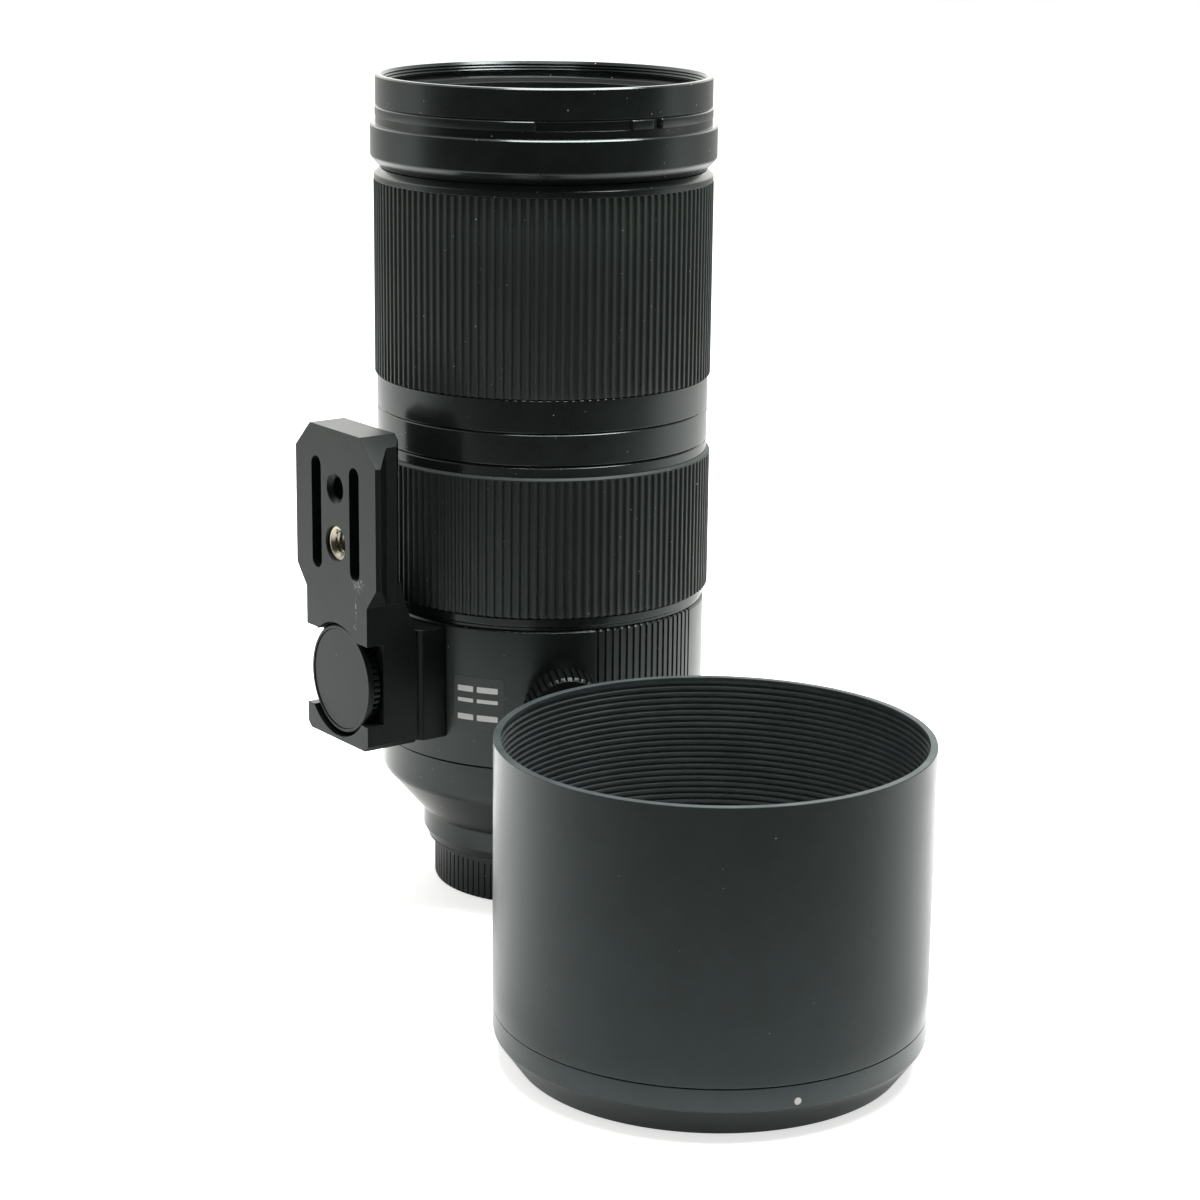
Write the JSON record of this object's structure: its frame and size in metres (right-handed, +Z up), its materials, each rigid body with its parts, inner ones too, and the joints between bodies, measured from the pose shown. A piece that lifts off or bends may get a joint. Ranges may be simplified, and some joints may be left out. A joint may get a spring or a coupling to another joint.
{
  "type": "camera zoom lens",
  "caption": "Telephoto zoom lens standing on its rear cap, with ribbed zoom and focus rings, a turning tripod collar with a foot, and its hood beside it.",
  "frame": {"origin": "centre of the rear cap's bottom face, which the lens stands on", "axes": "+Z up the optical axis towards the front glass, -Y towards the tripod foot"},
  "size_m": [0.2175, 0.1327, 0.2118],
  "materials": {
    "black_metal": "satin black anodised",
    "black_plastic": "fine matte black",
    "rubber": "ribbed matte rubber",
    "steel": "bright turned steel",
    "bare_aluminium": "machined",
    "brass": "turned",
    "glass": "polished and coated",
    "circuit": "solder mask",
    "hood_charcoal": "matte charcoal"
  },
  "bodies": {
    "barrel": {"main_barrel": "black_metal", "rear_barrel": "black_metal", "index_ring": "black_metal", "guide_tube": "black_metal", "mount_bayonet": "steel", "mount_screws": "steel", "mount_seal": "rubber", "contact_block": "black_plastic", "contact_pins": "brass", "rear_cell": "black_plastic", "rear_lens": "glass", "focus_rods": "steel", "focus_motor": "steel", "main_board": "circuit"},
    "cap": {"rear_cap": "black_plastic"},
    "zoom": {"zoom_ring": "black_metal", "zoom_grip": "rubber", "cam_sleeve": "bare_aluminium", "zoom_screws": "steel", "dust_seal": "black_plastic"},
    "front": {"front_tube": "black_metal", "front_rollers": "brass", "front_ring": "black_metal", "name_ring": "black_plastic", "front_lens": "glass", "front_doublet": "glass"},
    "variator": {"variator_cell": "black_plastic", "variator_lens": "glass", "variator_rollers": "brass"},
    "iris": {"iris_cell": "black_plastic", "relay_lens": "glass", "iris_rollers": "brass"},
    "iris_drive": {"iris_ring": "black_metal"},
    "focus": {"focus_ring": "black_metal", "focus_grip": "rubber"},
    "focus_group": {"focus_cell": "black_plastic", "focus_lens": "glass"},
    "focus_spindle": {"focus_screw": "steel"},
    "collar": {"collar_ring": "black_metal", "collar_shoe": "black_metal"},
    "lock": {"lock_knob": "black_plastic", "lock_cap": "black_metal", "lock_screw": "steel"},
    "foot": {"tripod_foot": "black_metal", "thread_insert": "steel"},
    "clamp": {"clamp_knob": "black_plastic", "clamp_disc": "black_metal", "clamp_screw": "steel"},
    "hood": {"hood_shell": "hood_charcoal", "hood_ring": "hood_charcoal"},
    "blade_1": {"iris_blade_1": "black_plastic"},
    "blade_2": {"iris_blade_2": "black_plastic"},
    "blade_3": {"iris_blade_3": "black_plastic"},
    "blade_4": {"iris_blade_4": "black_plastic"},
    "blade_5": {"iris_blade_5": "black_plastic"},
    "blade_6": {"iris_blade_6": "black_plastic"},
    "blade_7": {"iris_blade_7": "black_plastic"},
    "blade_8": {"iris_blade_8": "black_plastic"},
    "blade_9": {"iris_blade_9": "black_plastic"}
  },
  "joints": [
    {"name": "zoom_turn", "type": "hinge", "parent": "barrel", "child": "zoom", "pos_m": [0, 0, 0.158], "axis": [0, 0, 1], "range_deg": [0, 75]},
    {"name": "front_slide", "type": "slide", "parent": "barrel", "child": "front", "axis": [0, 0, 1], "range_m": [0, 0.072]},
    {"name": "variator_slide", "type": "slide", "parent": "barrel", "child": "variator", "axis": [0, 0, 1], "range_m": [0, 0.024]},
    {"name": "iris_slide", "type": "slide", "parent": "barrel", "child": "iris", "axis": [0, 0, 1], "range_m": [0, 0.012]},
    {"name": "iris_turn", "type": "hinge", "parent": "iris", "child": "iris_drive", "pos_m": [0, 0, 0.0686], "axis": [0, 0, 1], "range_deg": [0, 24]},
    {"name": "blade_turn_1", "type": "hinge", "parent": "iris", "child": "blade_1", "pos_m": [0.0252, 0, 0.0675], "axis": [0, 0, 1], "range_deg": [0, 30]},
    {"name": "blade_turn_2", "type": "hinge", "parent": "iris", "child": "blade_2", "pos_m": [0.0193, 0.0162, 0.0675], "axis": [0, 0, 1], "range_deg": [0, 30]},
    {"name": "blade_turn_3", "type": "hinge", "parent": "iris", "child": "blade_3", "pos_m": [0.00438, 0.02482, 0.0675], "axis": [0, 0, 1], "range_deg": [0, 30]},
    {"name": "blade_turn_4", "type": "hinge", "parent": "iris", "child": "blade_4", "pos_m": [-0.0126, 0.02182, 0.0675], "axis": [0, 0, 1], "range_deg": [0, 30]},
    {"name": "blade_turn_5", "type": "hinge", "parent": "iris", "child": "blade_5", "pos_m": [-0.02368, 0.00862, 0.0675], "axis": [0, 0, 1], "range_deg": [0, 30]},
    {"name": "blade_turn_6", "type": "hinge", "parent": "iris", "child": "blade_6", "pos_m": [-0.02368, -0.00862, 0.0675], "axis": [0, 0, 1], "range_deg": [0, 30]},
    {"name": "blade_turn_7", "type": "hinge", "parent": "iris", "child": "blade_7", "pos_m": [-0.0126, -0.02182, 0.0675], "axis": [0, 0, 1], "range_deg": [0, 30]},
    {"name": "blade_turn_8", "type": "hinge", "parent": "iris", "child": "blade_8", "pos_m": [0.00438, -0.02482, 0.0675], "axis": [0, 0, 1], "range_deg": [0, 30]},
    {"name": "blade_turn_9", "type": "hinge", "parent": "iris", "child": "blade_9", "pos_m": [0.0193, -0.0162, 0.0675], "axis": [0, 0, 1], "range_deg": [0, 30]},
    {"name": "focus_turn", "type": "hinge", "parent": "barrel", "child": "focus", "pos_m": [0, 0, 0.1], "axis": [0, 0, 1], "continuous": true},
    {"name": "spindle_turn", "type": "hinge", "parent": "barrel", "child": "focus_spindle", "pos_m": [0, 0.021, 0.033], "axis": [0, 0, 1], "range_deg": [0, 2520]},
    {"name": "focus_slide", "type": "slide", "parent": "barrel", "child": "focus_group", "axis": [0, 0, 1], "range_m": [0, 0.007]},
    {"name": "collar_turn", "type": "hinge", "parent": "barrel", "child": "collar", "pos_m": [0, 0, 0.0595], "axis": [0, 0, 1], "continuous": true},
    {"name": "lock_turn", "type": "hinge", "parent": "collar", "child": "lock", "pos_m": [0.04346, -0.02263, 0.0587], "axis": [0.887, -0.4617, 0], "range_deg": [0, 270]},
    {"name": "foot_slide", "type": "slide", "parent": "collar", "child": "foot", "axis": [0, 0, 1], "range_m": [0, 0.032]},
    {"name": "clamp_turn", "type": "hinge", "parent": "foot", "child": "clamp", "pos_m": [0, -0.0597, 0.0632], "axis": [0, -1, 0], "range_deg": [0, 270]},
    {"name": "cap_twist", "type": "hinge", "parent": "barrel", "child": "cap", "pos_m": [0, 0, 0.0056], "axis": [0, 0, 1], "range_deg": [0, 45]},
    {"name": "hood_lift", "type": "slide", "parent": "barrel", "child": "hood", "axis": [0, 0, 1], "range_m": [0, 0.22]}
  ],
  "couplings": [
    {"joint": "front_slide", "follows": "zoom_turn", "m_per_rad": 0.055},
    {"joint": "variator_slide", "follows": "zoom_turn", "m_per_rad": 0.01833},
    {"joint": "iris_slide", "follows": "zoom_turn", "m_per_rad": 0.009165},
    {"joint": "spindle_turn", "follows": "focus_slide", "rad_per_m": 6283.1},
    {"joint": "blade_turn_1", "follows": "iris_turn", "ratio": 1.2499},
    {"joint": "blade_turn_2", "follows": "iris_turn", "ratio": 1.2499},
    {"joint": "blade_turn_3", "follows": "iris_turn", "ratio": 1.2499},
    {"joint": "blade_turn_4", "follows": "iris_turn", "ratio": 1.2499},
    {"joint": "blade_turn_5", "follows": "iris_turn", "ratio": 1.2499},
    {"joint": "blade_turn_6", "follows": "iris_turn", "ratio": 1.2499},
    {"joint": "blade_turn_7", "follows": "iris_turn", "ratio": 1.2499},
    {"joint": "blade_turn_8", "follows": "iris_turn", "ratio": 1.2499},
    {"joint": "blade_turn_9", "follows": "iris_turn", "ratio": 1.2499}
  ]
}
